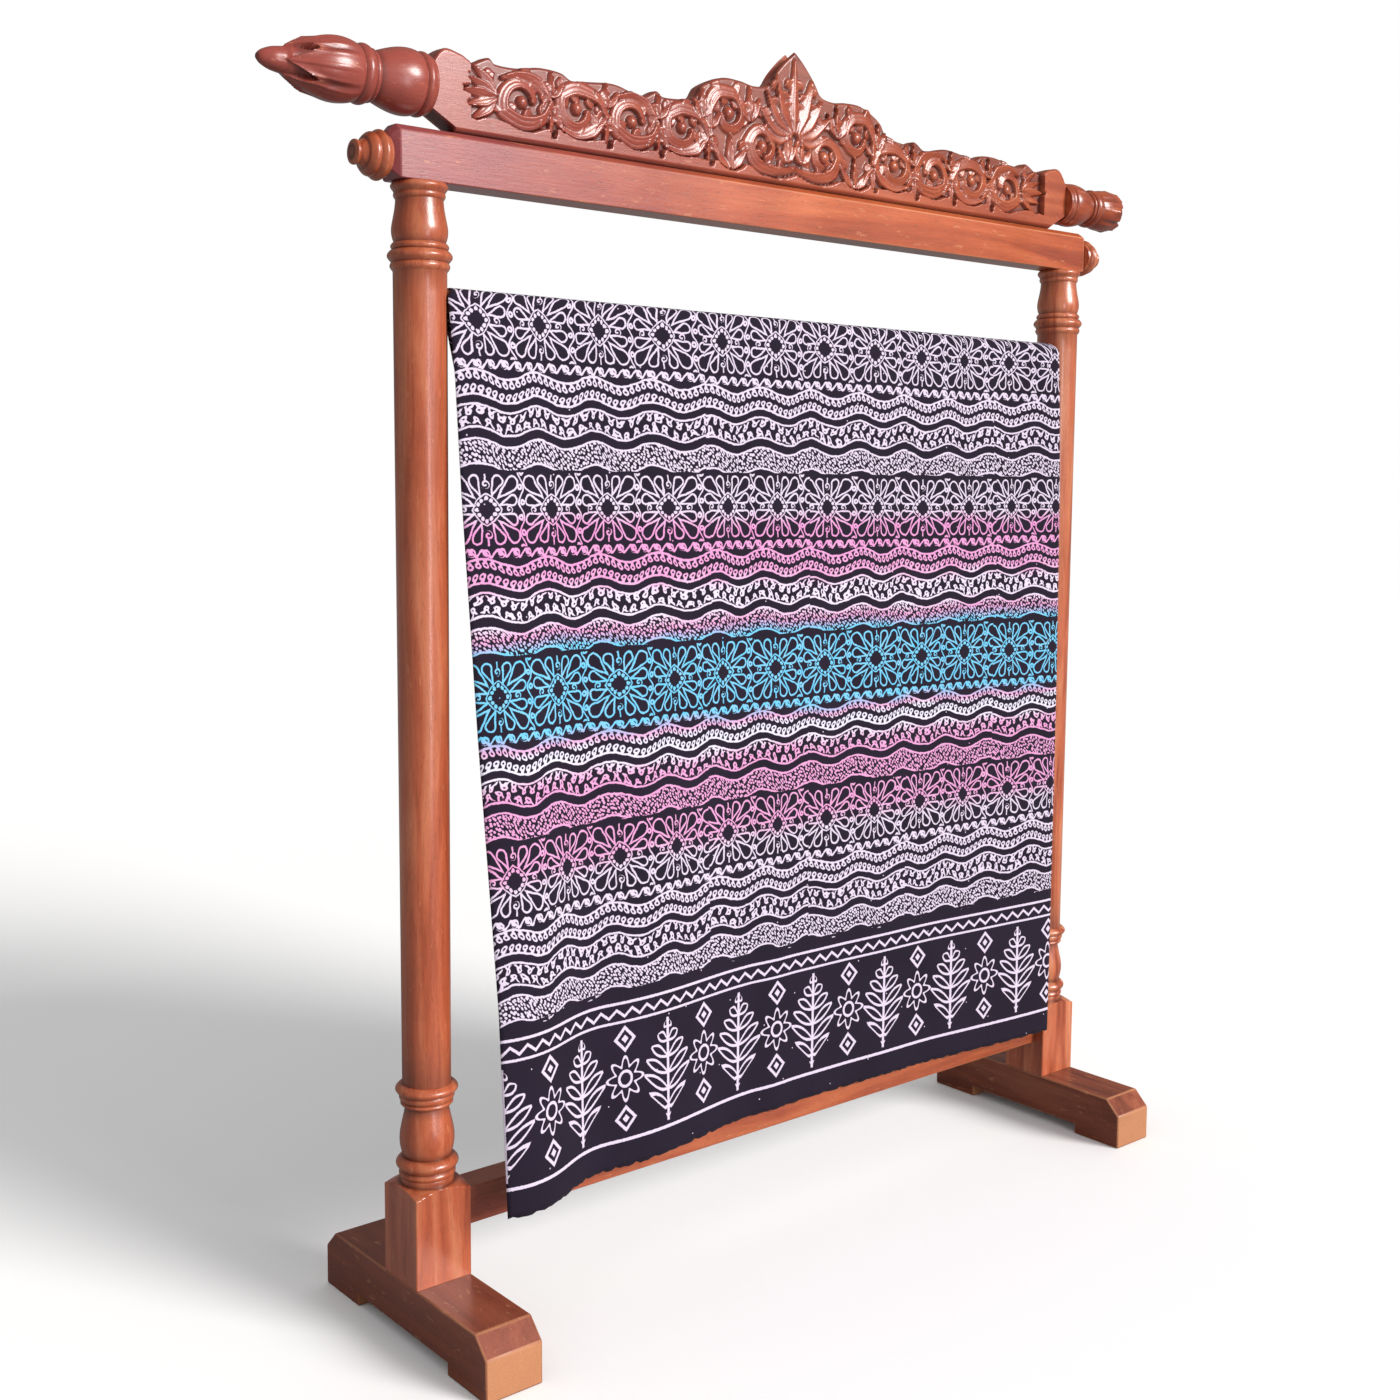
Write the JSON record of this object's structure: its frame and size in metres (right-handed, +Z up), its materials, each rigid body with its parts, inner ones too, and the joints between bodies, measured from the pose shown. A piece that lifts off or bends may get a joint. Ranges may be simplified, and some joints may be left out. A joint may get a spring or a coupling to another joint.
{
  "type": "batik cloth on a wooden display rack",
  "caption": "Length of wax-dyed cotton draped over the rail of a free-standing carved and turned wooden rack.",
  "frame": {"origin": "bottom centre of the whole rack, on the floor", "axes": "+X along the rail to the right seen from the front, -Y towards the viewer, +Z up"},
  "size_m": [1.5276, 0.385, 1.642],
  "materials": {
    "cloth": "matt plain-weave cotton, dark ground with pale wax-resist pattern",
    "turned_wood": "varnished red-brown hardwood, turned",
    "foot_wood": "stained and varnished red-brown hardwood, sawn and planed, worn at the edges",
    "beam_wood": "varnished red-brown hardwood, planed, scuffed",
    "carved_wood": "varnished red-brown hardwood, hand carved, darker in the cuts"
  },
  "bodies": {
    "root": {"cloth": "cloth", "cloth_rail": "turned_wood", "post_left": "turned_wood", "post_right": "turned_wood", "foot_left": "foot_wood", "foot_right": "foot_wood", "stretcher": "foot_wood", "top_beam": "beam_wood", "knob_left": "turned_wood", "knob_right": "turned_wood", "crest_board": "carved_wood", "finial_left": "carved_wood", "finial_right": "carved_wood"}
  },
  "joints": []
}
